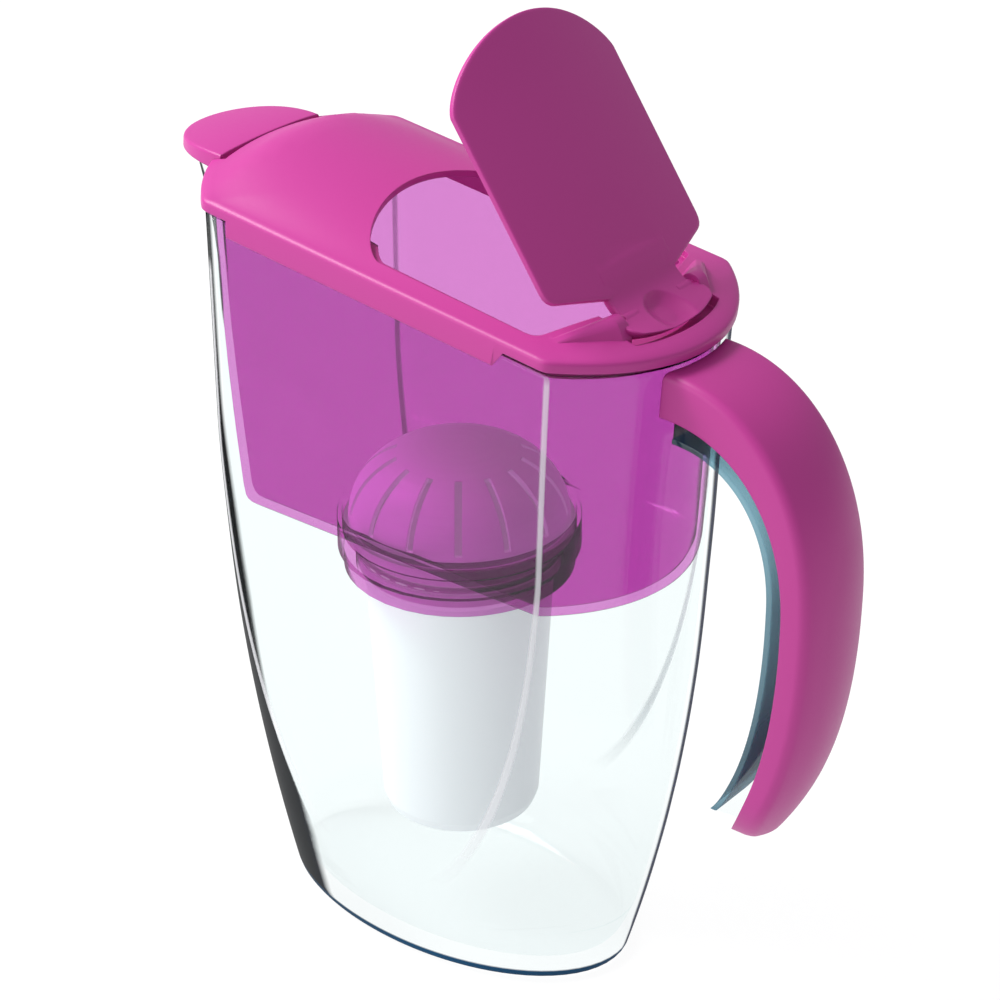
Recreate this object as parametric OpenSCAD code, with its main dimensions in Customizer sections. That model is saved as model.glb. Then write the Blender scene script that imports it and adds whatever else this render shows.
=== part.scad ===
// Water filter pitcher with flip lid.
// The origin is the middle of the foot on the table, +X points to the handle, +Z is up.

/* [Jug body] */
// Height of the rim line above the table, at the middle of the foot
rim_mid_h = 256.9; // [245:0.1:268]
// Slope of the rim, which falls towards the handle
rim_tilt = 6.7; // [4:0.1:8]
// Length of the foot from its middle towards the spout
foot_front = 70; // [66:0.5:74]
// Length of the foot from its middle towards the handle
foot_rear = 67.8; // [64:0.1:72]
// Half width of the oval foot
foot_half_w = 39.5; // [36:0.1:42]
// How far the front swells out above the foot
front_swell = 16; // [13:0.5:18]
// How far the rear swells out above the foot
rear_swell = 20; // [17:0.5:22]
// How far the rear flares out again at the rim
rear_flare = 8; // [6:0.5:9]
// How far the oval widens above the foot, before the flat sides cut it
oval_swell = 29.8; // [27:0.1:32]
// Half width over the flat side panels, at the rim
panel_half_w = 46.5; // [45:0.1:48]
// Wall of the jug
jug_wall = 2.4; // [2:0.1:2.8]
// Thickness of the jug floor
jug_floor = 5; // [3.5:0.1:7]
// Reach of the spout in front of the oval
spout_reach = 23; // [19:0.5:25]
// Half width of the spout
spout_half_w = 24.4; // [23:0.1:25]
// Rise of the rim over the spout
spout_rise = 1.6; // [0:0.1:1.8]
// Height over which the spout grows out of the body
spout_drop = 70; // [50:1:90]

/* [Handle] */
// Furthest reach of the handle from the middle of the foot
handle_reach = 147.4; // [144:0.1:152]
// Depth of the handle cover, from its back to its open edge
cover_depth = 8.6; // [8:0.1:10]
// Half width of the handle cover
cover_half_w = 17; // [15:0.5:19]
// Wall of the handle cover
cover_wall = 2.2; // [1.8:0.1:2.6]
// Half width of the clear core
core_half_w = 11; // [9:0.5:12.5]
// How far the core stands out of the cover towards the fingers
core_proud = 9; // [6:0.5:10]
// Height of the open lower end of the handle
handle_foot_h = 88.5; // [80:0.5:95]
// Crown of the handle's back across its width
back_crown = 3.6; // [0:0.1:4.5]

/* [Funnel tank] */
// Gap between the jug wall and the tank
tank_gap = 0.8; // [0.5:0.1:1]
// Wall and floor of the tank
tank_wall = 2; // [1.6:0.1:2.4]
// Height of the underside of the tank floor
tank_floor_h = 155.5; // [150:0.5:162]
// Distance of the tank's front wall from the axis, at the rim
tank_front = 69; // [66:0.5:72]
// Lean of the tank's front wall, over its height
tank_front_lean = 12; // [8:0.5:15]
// Thickness of the flange that hangs the tank on the jug rim
flange_t = 1.5; // [1.2:0.1:2]
// Outer radius of the filter socket under the floor
socket_r = 41; // [40.2:0.1:41.4]
// Height of the wide part of the socket under the floor
socket_step = 12; // [8:0.5:14]
// Height of the socket below the tank floor
socket_drop = 19; // [16:0.5:24]
// Bore of the socket, as a radius
socket_bore_r = 35; // [34:0.1:36]

/* [Filter cartridge] */
// Radius of the cup under the socket
cup_top_r = 32; // [30:0.5:33]
// Radius of the cup near its lower end
cup_low_r = 27; // [25:0.5:29]
// Height of the lower end of the cup above the table
cup_foot_h = 41.6; // [30:0.1:55]
// Wall of the cup
cup_wall = 1.6; // [1.2:0.1:2]
// Rise of the slotted cap above the cup
cap_rise = 27; // [22:1:36]
// Number of slots round the cap
cap_slots = 14; // [8:1:20]
// Width of a slot in the cap
slot_w = 2.4; // [1.5:0.1:3]
// Height of the resin bed
resin_h = 46; // [35:1:55]

/* [Lid] */
// Overhang of the lid round the jug
lid_over = 1.5; // [1:0.1:2]
// Overhang of the lid at its rear end
lid_rear_over = 2.4; // [1.5:0.1:3]
// Thickness of the lid
lid_t = 2.2; // [1.8:0.1:2.6]
// Rise of the lid's crown near the spout
crown_front = 12; // [8:0.5:14]
// Rise of the lid's crown at the middle
crown_mid = 7; // [5.5:0.5:9]
// Height of the rim band that hangs down the sides
band_drop = 8.4; // [6:0.1:11]
// Half width of the flip lid
flip_half_w = 39.6; // [36:0.1:40]
// Length of the straight sides of the flip lid
flip_straight = 61.5; // [56:0.5:64]
// Rise of the flip lid's rounded front end
flip_nose = 20.5; // [16:0.5:22]
// Angle at which the flip lid stands open
flip_open = 47.4; // [0:0.1:50]
// Width of the ledge under the edge of the flip lid
ledge_w = 2.4; // [1.5:0.1:3]
// Half width of the thumb tab
tab_half_w = 20.4; // [18:0.1:20.8]
// Length of the thumb tab behind the hinge
tab_len = 12; // [10:0.1:12.5]
// Upward bend of the thumb tab against the flip lid
tab_bend = 25; // [15:1:28]
// Radius of the hinge pins of the flip lid
flip_pin_r = 1.6; // [1.2:0.1:1.8]
// Radius of the hinge pins of the spout flap
flap_pin_r = 1; // [0.9:0.1:1.1]

/* [Hidden] */
magenta = [0.72, 0.13, 0.5];
clear_tint = [0.85, 0.92, 0.95, 0.35];
run_gap = 0.3;            // clearance between pieces that lift off or swing
pin_gap = 0.08;           // radial clearance of a pin in its hole
rear_steps = 18;          // outline segments round the rear arc
side_steps = 12;          // outline segments along each flat side
front_steps = 24;         // outline segments round the front arc
full_h = rim_mid_h - 1.9; // height of the topmost body section, before it follows the rim
far = 400;                // size of a block that cuts everything on one side
round_fn = 96;

// ---- body sections -------------------------------------------------------------------

function rim_z(x) = rim_mid_h - tan(rim_tilt) * x;
function grow(z, reach, power) = 1 - pow(1 - min(1, max(0, z / reach)), power);
function front_len(z) = foot_front + front_swell * grow(z, 130, 2) + 2 * pow(z / full_h, 2);
function rear_len(z) = foot_rear + rear_swell * grow(z, 140, 2) + rear_flare * pow(z / full_h, 2.2);
function half_oval(z) = foot_half_w + oval_swell * grow(z, 180, 1.35);
function panel_half(z) = panel_half_w - 1 + z / full_h;
function crease_angle(z, inset) =
    asin(min(0.978, (panel_half(z) - inset) / (half_oval(z) - inset)));
function spout_bump(y, inset) =
    let (w = spout_half_w - inset)
    abs(y) >= w ? 0 : pow(1 - pow(abs(y) / w, 1.4), 0.75);
function spout_grow(z) = pow(max(0, 1 - (full_h - z) / spout_drop), 1.6);

// Angles round the oval: rear arc, far flat side, front arc, near flat side.
function ring_angles(c) = concat(
    [for (i = [0:rear_steps - 1]) -c + 2 * c * i / rear_steps],
    [for (i = [0:side_steps - 1]) c + (180 - 2 * c) * i / side_steps],
    [for (i = [0:front_steps - 1]) 180 - c + 2 * c * i / front_steps],
    [for (i = [0:side_steps - 1]) 180 + c + (180 - 2 * c) * i / side_steps]);

// Outline of the body at height z, drawn in by inset; spout is 0 or 1.
function outline(z, inset, spout) = [
    for (a = ring_angles(crease_angle(z, inset)))
    let (
        len = (cos(a) > 0 ? rear_len(z) : front_len(z)) - inset,
        wide = min((half_oval(z) - inset) * abs(sin(a)), panel_half(z) - inset),
        y = sign(sin(a)) * wide,
        x = len * cos(a),
        lip = cos(a) < 0 ? spout * spout_reach * spout_grow(z) * spout_bump(y, inset) : 0)
    [x - lip, y]];

// One closed ring of the jug: z is measured to the rim, which slopes.
jug_drop = 2.7 + run_gap + flange_t + run_gap;   // jug rim below the rim line
spout_ramp = [-83.5, -88];                 // the rim rises to the spout between these
function smooth(s) = let (c = max(0, min(1, s))) c * c * (3 - 2 * c);
function jug_top(x) = rim_z(max(x, spout_ramp[1])) - jug_drop
    + spout_rise * smooth((spout_ramp[0] - x) / (spout_ramp[0] - spout_ramp[1]));
function jug_ring(z, inset) = [
    for (p = outline(z, inset, 1)) [p.x, p.y, z * jug_top(p.x) / full_h]];

// Height in the body sections of a point at height h, half way along the jug.
function body_z(h) = h * full_h / (rim_mid_h - jug_drop);

// Closed solid through a list of rings, from its first cap to its last.
function ring_mid(r) = [for (k = [0:2]) [for (p = r) p[k]] * [for (p = r) 1] / len(r)];
module loft(rings) {
    n = len(rings[0]);
    m = len(rings);
    pts = concat([for (r = rings) each r], [ring_mid(rings[0]), ring_mid(rings[m - 1])]);
    walls = [for (k = [0:m - 2]) for (i = [0:n - 1])
        let (j = (i + 1) % n, a = k * n + i, b = k * n + j)
        each [[a, a + n, b + n], [a, b + n, b]]];
    first = [for (i = [0:n - 1]) [m * n, i, (i + 1) % n]];
    last = [for (i = [0:n - 1]) [m * n + 1, (m - 1) * n + (i + 1) % n, (m - 1) * n + i]];
    polyhedron(pts, concat(first, walls, last), convexity = 8);
}

// ---- jug ---------------------------------------------------------------------------

foot_edge = [[0, 2.2], [0.8, 0.7], [2.5, 0]];             // height and inset round the foot
jug_levels = [10, 22, 36, 52, 70, 90, 110, 130, 150, 170, 190, 205, 218, 230, 240, 248, full_h];
cavity_levels = [full_h, 248, 240, 230, 215, 195, 170, 140, 110, 85, 60, 40, 25];
cavity_foot = [[9, 0.8], [3.5, 2.2], [1, 4.6], [0, 8]];   // height over the floor and extra inset

function jug_outer_rings(grow_by) = concat(
    [for (e = foot_edge) jug_ring(e[0], e[1] - grow_by)],
    [for (z = jug_levels) jug_ring(z, -grow_by)]);

// The jug as a solid that also reaches above its rim, to cut the handle pieces with.
module jug_solid(grow_by) {
    loft(concat(jug_outer_rings(grow_by), [jug_ring(full_h + 8, -grow_by)]));
}

module jug_body() {
    color(clear_tint)
        loft(concat(
            jug_outer_rings(0),
            [for (z = cavity_levels) jug_ring(z, jug_wall)],
            [for (e = cavity_foot)
                [for (p = outline(jug_floor + e[0], jug_wall + e[1], 0)) [p.x, p.y, jug_floor + e[0]]]]));
}

// ---- handle ------------------------------------------------------------------------

handle_mid = [92, 168];                    // centre of the handle's curve, x and z
handle_up = 72.4;                           // rise of the curve above its centre
handle_down = 105;                         // fall of the curve below its centre
bow_power = 2.2;                           // squareness of the curve

// Point of the handle's curve, drawn in by the distances dx at the back and dz at the top.
function bow(a, dx, dz, dd) =
    [handle_mid[0] + (handle_reach - handle_mid[0] - dx) * pow(max(0, cos(a)), 2 / bow_power),
     handle_mid[1] + (a > 0 ? handle_up - dz : handle_down - dd)
         * sign(a) * pow(abs(sin(a)), 2 / bow_power)];
bow_angles = [for (a = [90:-5:-60]) a];

cover_back = [0, 0, 0];
cover_edge = [cover_depth, 15, 4];
cover_inner = [cover_wall, cover_wall, 0];
core_back = [cover_wall + run_gap, cover_wall + run_gap, 0];
core_face = [cover_depth + core_proud, 26, 14];

// Point of the crowned back at half width share y, for the curve drawn in by d.
function crowned(a, d, y) =
    let (c = back_crown * (1 - pow(y / cover_half_w, 2)), p = bow(a, d[0] - c, d[1], d[2] - 0.7 * c))
    [p[0], y, p[1]];

// Bent bar along the handle's curve, from its crowned back to its flat front.
module bow_bar(back, front, half_w) {
    loft([for (a = bow_angles)
        let (p = bow(a, front[0], front[1], front[2]))
        concat([for (s = [1:-0.25:-1]) crowned(a, back, s * half_w)],
            [[p[0], -half_w, p[1]], [p[0], half_w, p[1]]])]);
}

// Keeps what lies above the open lower end of the handle.
module above_foot(h) {
    translate([0, -far / 2, h])
        cube(far);
}

module handle_cover() {
    color(magenta)
        difference() {
            intersection() {
                bow_bar(cover_back, cover_edge, cover_half_w);
                above_foot(handle_foot_h);
            }
            bow_bar(cover_inner, [cover_depth + 5, 22, 12], cover_half_w - cover_wall);
            jug_solid(0.2);
        }
}

module handle_core() {
    color(clear_tint)
        difference() {
            intersection() {
                bow_bar(core_back, core_face, core_half_w);
                above_foot(handle_foot_h + 3);
            }
            jug_solid(0);
        }
}

// ---- funnel tank -------------------------------------------------------------------

tank_inset = jug_wall + tank_gap;
tank_top_drop = 2.7 + run_gap;             // top of the tank flange below the rim line
function tank_front_x(z) = -tank_front + tank_front_lean * (rim_mid_h - z) / 100;
function tank_ring(z, inset, h) = [
    for (p = outline(body_z(z), inset, 0))
    let (x = max(p.x, tank_front_x(z) + inset - tank_inset))
    [x, p.y, h]];
// Ring at a share s of the height between the floor and the sloping top.
function tank_wall_ring(s, inset, drop) =
    let (z = tank_floor_h + s * (rim_mid_h - tank_floor_h))
    [for (p = tank_ring(z, inset, 0))
        [p.x, p.y, tank_floor_h + s * (rim_z(p.x) - drop - tank_floor_h)]];
tank_bottom = [[0, 5], [1.2, 2], [4, 0.5]];   // height and extra inset round the lower edge

socket_top = tank_floor_h + tank_wall;
socket_lip = 0.8;                          // rise of the socket's rim inside the tank
seat_h = socket_top - 7.5;                 // ledge that the cartridge hangs on
seat_r = socket_bore_r + 4.3;              // recess for the cartridge flange

module funnel_tank() {
    color([0.75, 0.25, 0.7, 0.5])
        difference() {
            union() {
                loft(concat(
                    [for (e = tank_bottom) tank_ring(tank_floor_h + e[0], tank_inset + e[1],
                        tank_floor_h + e[0])],
                    [for (s = [0.12, 0.35, 0.6, 0.8]) tank_wall_ring(s, tank_inset, tank_top_drop)],
                    [tank_wall_ring(1, tank_inset, tank_top_drop + flange_t)],
                    [tank_wall_ring(1, jug_wall * 0.25, tank_top_drop + flange_t)],
                    [tank_wall_ring(1, jug_wall * 0.25, tank_top_drop)],
                    [tank_wall_ring(1, tank_inset + tank_wall, tank_top_drop)],
                    [for (s = [0.8, 0.6, 0.35, 0.12])
                        tank_wall_ring(s, tank_inset + tank_wall, tank_top_drop)],
                    [for (e = [[3.5, 0.8], [1.2, 2.2], [0, 5]])
                        tank_ring(socket_top + e[0], tank_inset + tank_wall + e[1],
                            socket_top + e[0])]));
                translate([0, 0, tank_floor_h - socket_step])
                    cylinder(h = socket_step + tank_wall + socket_lip, r = socket_r, $fn = round_fn);
                translate([0, 0, tank_floor_h - socket_drop])
                    cylinder(h = socket_drop, r = socket_r - 2, $fn = round_fn);
            }
            translate([0, 0, tank_floor_h - socket_drop - 1])
                cylinder(h = socket_drop + 10, r = socket_bore_r, $fn = round_fn);
            translate([0, 0, seat_h])
                cylinder(h = 20, r = seat_r, $fn = round_fn);
        }
}

// ---- filter cartridge -----------------------------------------------------------------

seat_on = seat_h + run_gap;                // underside of the cartridge flange
flange_r = seat_r - 0.4;
cup_rim = seat_on + 3;                     // top of the cup
neck_r = socket_bore_r - 0.6;
neck_h = tank_floor_h - socket_drop - 2;   // below this the cup tapers
cup_floor = cup_foot_h + 3;
seal_h = neck_h + 9;                       // height of the sealing ring
seal_t = 2;
groove_r = socket_bore_r - pin_gap - seal_t - 0.12;   // bottom of the groove it sits in
fleece_t = 2;
layer_gap = 0.3;

// Outer radius of the cup at height z, under its neck.
function cup_r(z) = cup_low_r + (cup_top_r - cup_low_r) * (z - cup_foot_h) / (neck_h - cup_foot_h);

module cartridge_cup() {
    color([0.95, 0.95, 0.95])
        difference() {
            rotate_extrude($fn = round_fn)
                polygon([[0, cup_foot_h], [cup_low_r - 4, cup_foot_h], [cup_low_r - 1, cup_foot_h + 1.5],
                    [cup_r(cup_foot_h + 5), cup_foot_h + 5], [cup_top_r, neck_h], [neck_r, neck_h + 3],
                    [neck_r, seal_h - 1.8], [groove_r, seal_h - 1.3], [groove_r, seal_h + 1.3],
                    [neck_r, seal_h + 1.8], [neck_r, seat_on], [flange_r, seat_on], [flange_r, cup_rim],
                    [neck_r - 3, cup_rim], [neck_r - 3, neck_h + 3], [cup_top_r - cup_wall, neck_h - 2],
                    [cup_r(cup_floor) - cup_wall, cup_floor], [0, cup_floor]]);
            for (ring = [0:2])
                for (k = [0:5 + 6 * ring])
                    rotate(k * 360 / (6 + 6 * ring))
                        translate([4 + 6.5 * ring, 0, cup_foot_h - 1])
                            cylinder(h = 6, r = 1.3, $fn = 24);
        }
}

module cartridge_seal() {
    color([0.9, 0.9, 0.88])
        rotate_extrude($fn = round_fn)
            translate([socket_bore_r - pin_gap - seal_t / 2, seal_h])
                circle(d = seal_t, $fn = 24);
}

cap_base = cup_rim + 0.3;
cap_r = flange_r - 1.6;
cap_wall = 1.6;
// Half section of the cap's shell, drawn in by inset.
function cap_side(inset) = [for (a = [0:6:90])
    [(cap_r - inset) * pow(cos(a), 0.8), cap_base + (cap_rise - inset) * sin(a)]];

module cartridge_cap() {
    color([0.97, 0.97, 0.97])
        difference() {
            rotate_extrude($fn = round_fn)
                polygon(concat(cap_side(0), [for (k = [15:-1:0]) cap_side(cap_wall)[k]]));
            for (k = [0:cap_slots - 1])
                rotate(k * 360 / cap_slots)
                    translate([cap_r * 0.42, -slot_w / 2, cap_base + 4])
                        cube([cap_r, slot_w, cap_rise * 0.72]);
        }
}

// Radius of a filling layer at height z, clear of the cup's wall.
function fill_r(z) = cup_r(min(z, neck_h - 2)) - cup_wall - layer_gap;
module layer(low, high) {
    bend = max(low, min(high, neck_h - 2));
    rotate_extrude($fn = round_fn)
        polygon([[0, low], [fill_r(low), low], [fill_r(bend), bend], [fill_r(high), high], [0, high]]);
}

outlet_low = cup_floor + layer_gap;
resin_low = outlet_low + fleece_t + layer_gap;
middle_low = resin_low + resin_h + layer_gap;
carbon_low = middle_low + fleece_t + layer_gap;
inlet_low = seat_on - fleece_t;
carbon_high = inlet_low - layer_gap;

module outlet_fleece() {
    color([0.92, 0.92, 0.9])
        layer(outlet_low, outlet_low + fleece_t);
}
module resin_bed() {
    color([0.85, 0.7, 0.4])
        layer(resin_low, resin_low + resin_h);
}
module middle_fleece() {
    color([0.92, 0.92, 0.9])
        layer(middle_low, middle_low + fleece_t);
}
module carbon_bed() {
    color([0.15, 0.15, 0.16])
        layer(carbon_low, carbon_high);
}
module inlet_fleece() {
    color([0.92, 0.92, 0.9])
        layer(inlet_low, inlet_low + fleece_t);
}

// ---- lid -----------------------------------------------------------------------------

// The lid is drawn on the sloping rim line: x runs along it, z stands square to it.
module on_rim() {
    translate([0, 0, rim_mid_h])
        rotate([0, rim_tilt, 0])
            children();
}

lid_inset = -lid_over;
lid_under = -2.7;                          // underside of the lid's rim
crease_x = -66;                            // soft crease across the front of the lid
seam_x = -79.8;                            // seam between lid and spout flap
rim_end = rear_len(full_h) + lid_rear_over;   // rear end of the lid

// Rise of the crown along the lid, and its height over any point.
function crown(x) =
    x < crease_x ? crown_front - 0.5 * (crease_x - x)
    : x < 0 ? crown_mid + (crown_front - crown_mid) * x / crease_x
    : crown_mid - 4 * x / rim_end;
function lid_h(x, y) = 1.2 + crown(x) * max(0, 1 - pow(y / (panel_half_w + lid_over), 2));

// Outline of the lid, drawn in by inset.
rear_stretch = rim_end / (rear_len(full_h) + lid_over);
function lid_plan(inset) = [
    for (p = outline(full_h, inset, 0)) [p.x * (p.x > 0 ? rear_stretch : 1), p.y]];

// Ring of the lid's crowned surface at share s of the outline, lowered by drop.
function lid_ring(s, inset, drop) = [
    for (p = lid_plan(inset))
    let (x = s * p.x, y = s * p.y, edge = 1 - pow(s, 10))
    [x, y, (lid_h(x, y) - 1.2) * edge + 1.2 - drop]];
function flat_ring(inset, h) = [for (p = lid_plan(inset)) [p.x, p.y, h]];
lid_shares = [0.985, 0.95, 0.9, 0.83, 0.74, 0.62, 0.48, 0.32, 0.16, 0.02];

// Keeps a ring of the lid's hollow behind the seam.
function behind_seam(ring) = [for (p = ring) [max(p.x, seam_x + 5), p.y, p.z]];

// The lid's shell: underside from the middle outwards, then the top back to the middle.
module lid_skin(hollow) {
    loft(concat(
        [for (k = [len(lid_shares) - 1:-1:0]) behind_seam(lid_ring(lid_shares[k], hollow, lid_t))],
        [behind_seam(flat_ring(hollow, lid_under))],
        [flat_ring(lid_inset, lid_under), flat_ring(lid_inset, 0.2), flat_ring(lid_inset + 0.5, 0.9)],
        [for (s = lid_shares) lid_ring(s, lid_inset, 0)]));
}

hinge_x = 77.5;                            // hinge of the flip lid
hinge_h = 4.8;
flip_rear = 62.5;                          // rear corners of the flip lid, when closed
neck_half_w = 17.6;
neck_x = 69.5;
pocket_arc_x = 40;                         // centre of the thumb pocket's rear arc
pocket_r = 51.4;
pocket_half_w = tab_half_w + 1.4;
pocket_depth = 7;
ear_w = 4;
ear_r = 3.6;
ear_in = neck_half_w + 1.3;                // inner face of the hinge ears

nose_power = 1.4;                          // fullness of the flip lid's front end

// Half outline of the flip lid's panel, widened by o; y is positive.
function flip_half(o) = concat(
    [for (a = [0:9:81]) [flip_rear - flip_straight - (flip_nose + o) * pow(cos(a), nose_power),
        (flip_half_w + o) * sin(a)]],
    [[flip_rear - flip_straight, flip_half_w + o], [flip_rear + o * 0.4, flip_half_w + o],
        [neck_x + o, neck_half_w + o]]);
function mirrored(half) = concat(half, [for (k = [len(half) - 1:-1:1]) [half[k].x, -half[k].y]]);

module flip_outline(o) {
    polygon(mirrored(flip_half(o)));
}

// Ring of that outline, shrunk to share s, on the crowned surface lowered by drop.
flip_mid = 24;
flip_shares = [1, 0.86, 0.7, 0.52, 0.34, 0.16, 0.02];
function flip_ring(o, s, drop) =
    let (pts = mirrored(flip_half(o)))
    [for (k = [len(pts) - 1:-1:0])
        let (x = flip_mid + s * (pts[k].x - flip_mid), y = s * pts[k].y)
        [x, y, lid_h(x, y) - drop]];
function flip_under(o, drop) =
    [for (k = [len(flip_shares) - 1:-1:0]) flip_ring(o, flip_shares[k], drop)];

// Pocket that the thumb tab dips into, seen from above.
module pocket_outline(r, half_w) {
    intersection() {
        translate([pocket_arc_x, 0])
            circle(r = r, $fn = 180);
        translate([hinge_x - 6, -half_w])
            square([30, 2 * half_w]);
    }
}

module ears() {
    for (side = [-1, 1])
        hull() {
            translate([hinge_x, side * (ear_in + ear_w / 2), hinge_h])
                rotate([90, 0, 0])
                    cylinder(h = ear_w, r = ear_r, center = true, $fn = 32);
            translate([neck_x + 1.5, side * (ear_in + ear_w / 2) - ear_w / 2, 0])
                cube([12, ear_w, 2.4]);
            translate([flip_rear + 4, side * (flip_half_w - 4), 0])
                cube([3, 2, 2.4]);
        }
}

flap_axis = [-81.4, 0.4];                  // hinge of the spout flap, x and height
flap_half_w = spout_half_w - 0.2;
flap_swing_r = 4.6;                        // room for the flap's rear edge as it swings

module lid_cover() {
    skirt_out = tank_inset + tank_wall + 0.6;
    color(magenta)
        on_rim()
            difference() {
                union() {
                    lid_skin(skirt_out + 1.5);
                    // skirt inside the tank
                    intersection() {
                        translate([0, 0, -band_drop])
                            linear_extrude(band_drop - 1)
                                difference() {
                                    polygon(outline(full_h, skirt_out, 0));
                                    polygon(outline(full_h, skirt_out + 1.5, 0));
                                }
                        translate([-tank_front + tank_wall + 6, -far / 2, -far / 2])
                            cube(far);
                    }
                    // band that hangs outside the flat sides
                    for (side = [0, 1])
                        mirror([0, side, 0])
                            translate([-55, panel_half_w + run_gap, -band_drop])
                                cube([108, lid_over - run_gap, band_drop]);
                    // pocket under the thumb tab
                    translate([0, 0, -pocket_depth - 1.5])
                        linear_extrude(pocket_depth + 1)
                            pocket_outline(pocket_r - 4.4, pocket_half_w + 1.4);
                    translate([0, 0, -2.5])
                        linear_extrude(2.5)
                            pocket_outline(pocket_r + 1.2, pocket_half_w + 1.6);
                    ears();
                }
                // fill opening, with a ledge that the flip lid closes on
                linear_extrude(far, center = true)
                    flip_outline(-ledge_w);
                loft(concat(
                    flip_under(0.5, flip_t + 0.2 + run_gap),
                    [[for (p = flip_ring(0.5, 1, 0)) [p.x, p.y, 30]]]));
                // neck and pocket of the rocker
                translate([neck_x - 3, -neck_half_w - 1, -pocket_depth])
                    cube([16, 2 * neck_half_w + 2, 30]);
                translate([0, 0, -pocket_depth])
                    linear_extrude(pocket_depth)
                        pocket_outline(pocket_r - 5.8, pocket_half_w);
                translate([0, 0, -1.2])
                    linear_extrude(20)
                        intersection() {
                            pocket_outline(pocket_r, pocket_half_w);
                            translate([hinge_x + ear_r, -40])
                                square([30, 80]);
                        }
                rotate([90, 0, 0])
                    translate([hinge_x, hinge_h, 0])
                        cylinder(h = 2 * (ear_in + ear_w - 0.8), r = flip_pin_r + pin_gap,
                            center = true, $fn = 48);
                // notch, swing groove and pin holes for the spout flap
                translate([seam_x - far, -spout_half_w, -far / 2])
                    cube([far, 2 * spout_half_w, far]);
                translate([flap_axis[0], 0, flap_axis[1]])
                    rotate([90, 0, 0]) {
                        cylinder(h = 2 * spout_half_w, r = flap_swing_r, center = true, $fn = 64);
                        cylinder(h = 2 * (spout_half_w + 1.6), r = flap_pin_r + pin_gap,
                            center = true, $fn = 48);
                    }
            }
}

module flip_lid() {
    color(magenta)
        on_rim()
            translate([hinge_x, 0, hinge_h])
                rotate([0, flip_open, 0])
                    translate([-hinge_x, 0, -hinge_h])
                        flip_lid_closed();
}

flip_t = 2.2;                              // thickness of the flip lid

module flip_lid_closed() {
    hub_r = 3.2;
    difference() {
        union() {
            // crowned panel
            loft(concat(flip_under(0, flip_t), [for (s = flip_shares) flip_ring(0, s, 0)]));
            // neck, hub and thumb tab
            translate([neck_x - 6, -neck_half_w, hinge_h - 1.2])
                cube([hinge_x - neck_x + 6, 2 * neck_half_w, 2.4]);
            translate([hinge_x, 0, hinge_h])
                rotate([90, 0, 0])
                    cylinder(h = 2 * neck_half_w - 0.6, r = hub_r, center = true, $fn = 64);
            translate([hinge_x, 0, hinge_h])
                rotate([0, -tab_bend, 0])
                    translate([0, 0, 0.6])
                        linear_extrude(2.4)
                            tab_outline();
        }
        // thumb dimple
        translate([hinge_x, 0, hinge_h])
            rotate([0, -tab_bend / 2, 0])
                translate([-1, 0, 16])
                    sphere(r = 15.1, $fn = 96);
    }
    translate([hinge_x, 0, hinge_h])
        rotate([90, 0, 0])
            cylinder(h = 2 * (ear_in + ear_w - 1.2), r = flip_pin_r, center = true, $fn = 48);
}

// Thumb tab from the hinge to its rounded end.
module tab_outline() {
    intersection() {
        translate([tab_len - 45, 0])
            circle(r = 45, $fn = 180);
        union() {
            translate([4.6, -tab_half_w])
                square([20, 2 * tab_half_w]);
            translate([-4, 0.4 - neck_half_w])
                square([20, 2 * neck_half_w - 0.8]);
        }
    }
}

// ---- spout flap -----------------------------------------------------------------------

flap_len = 30.4;                           // from the seam to the tip
flap_rear = seam_x - 0.6;
function flap_plan(o) = concat(
    [for (a = [-90:9:90]) [flap_rear - (flap_len + o) * pow(cos(a), 0.8), -(flap_half_w + o) * sin(a)]],
    [[flap_rear, -flap_half_w * 0.5], [flap_rear, 0], [flap_rear, flap_half_w * 0.5]]);
function flap_share(x) = max(0, min(1.1, (flap_rear - x) / flap_len));
function flap_top(x, y) = 4.6 - 6.2 * pow(flap_share(x), 1.6) - 1.2 * pow(y / flap_half_w, 2);
function flap_low(x) = spout_rise - jug_drop + 0.6 - 2.4 * pow(flap_share(x), 2);
function flap_ring(s, drop) = [
    for (p = flap_plan(0))
    let (x = flap_rear - 12 + s * (p.x - flap_rear + 12), y = s * p.y)
    [x, y, flap_top(x, y) - drop]];

module spout_flap() {
    color(magenta)
        on_rim() {
            difference() {
                loft(concat(
                    [flap_ring(0.1, 2), flap_ring(0.85, 2)],
                    [[for (p = flap_ring(0.9, 0)) [p.x, p.y, flap_low(p.x) + 0.2]]],
                    [[for (p = flap_plan(0)) [p.x, p.y, flap_low(p.x) + 0.2]]],
                    [flap_ring(1, 0.6), flap_ring(0.97, 0)],
                    [flap_ring(0.8, 0), flap_ring(0.5, 0), flap_ring(0.1, 0)]));
                translate([flap_rear - 3.4, -far / 2, flap_axis[1] - 0.9 - far])
                    cube(far);
            }
            translate([flap_axis[0], 0, flap_axis[1]])
                rotate([90, 0, 0]) {
                    cylinder(h = 2 * flap_half_w, r = 1.2, center = true, $fn = 48);
                    cylinder(h = 2 * (spout_half_w + 1.3), r = flap_pin_r, center = true, $fn = 48);
                }
        }
}

jug_body();
handle_core();
handle_cover();
funnel_tank();
lid_cover();
flip_lid();
spout_flap();
cartridge_cup();
cartridge_cap();
cartridge_seal();
inlet_fleece();
carbon_bed();
middle_fleece();
resin_bed();
outlet_fleece();
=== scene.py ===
import math

import bmesh
import bpy
import numpy as np
from mathutils import Matrix, Vector


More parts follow.
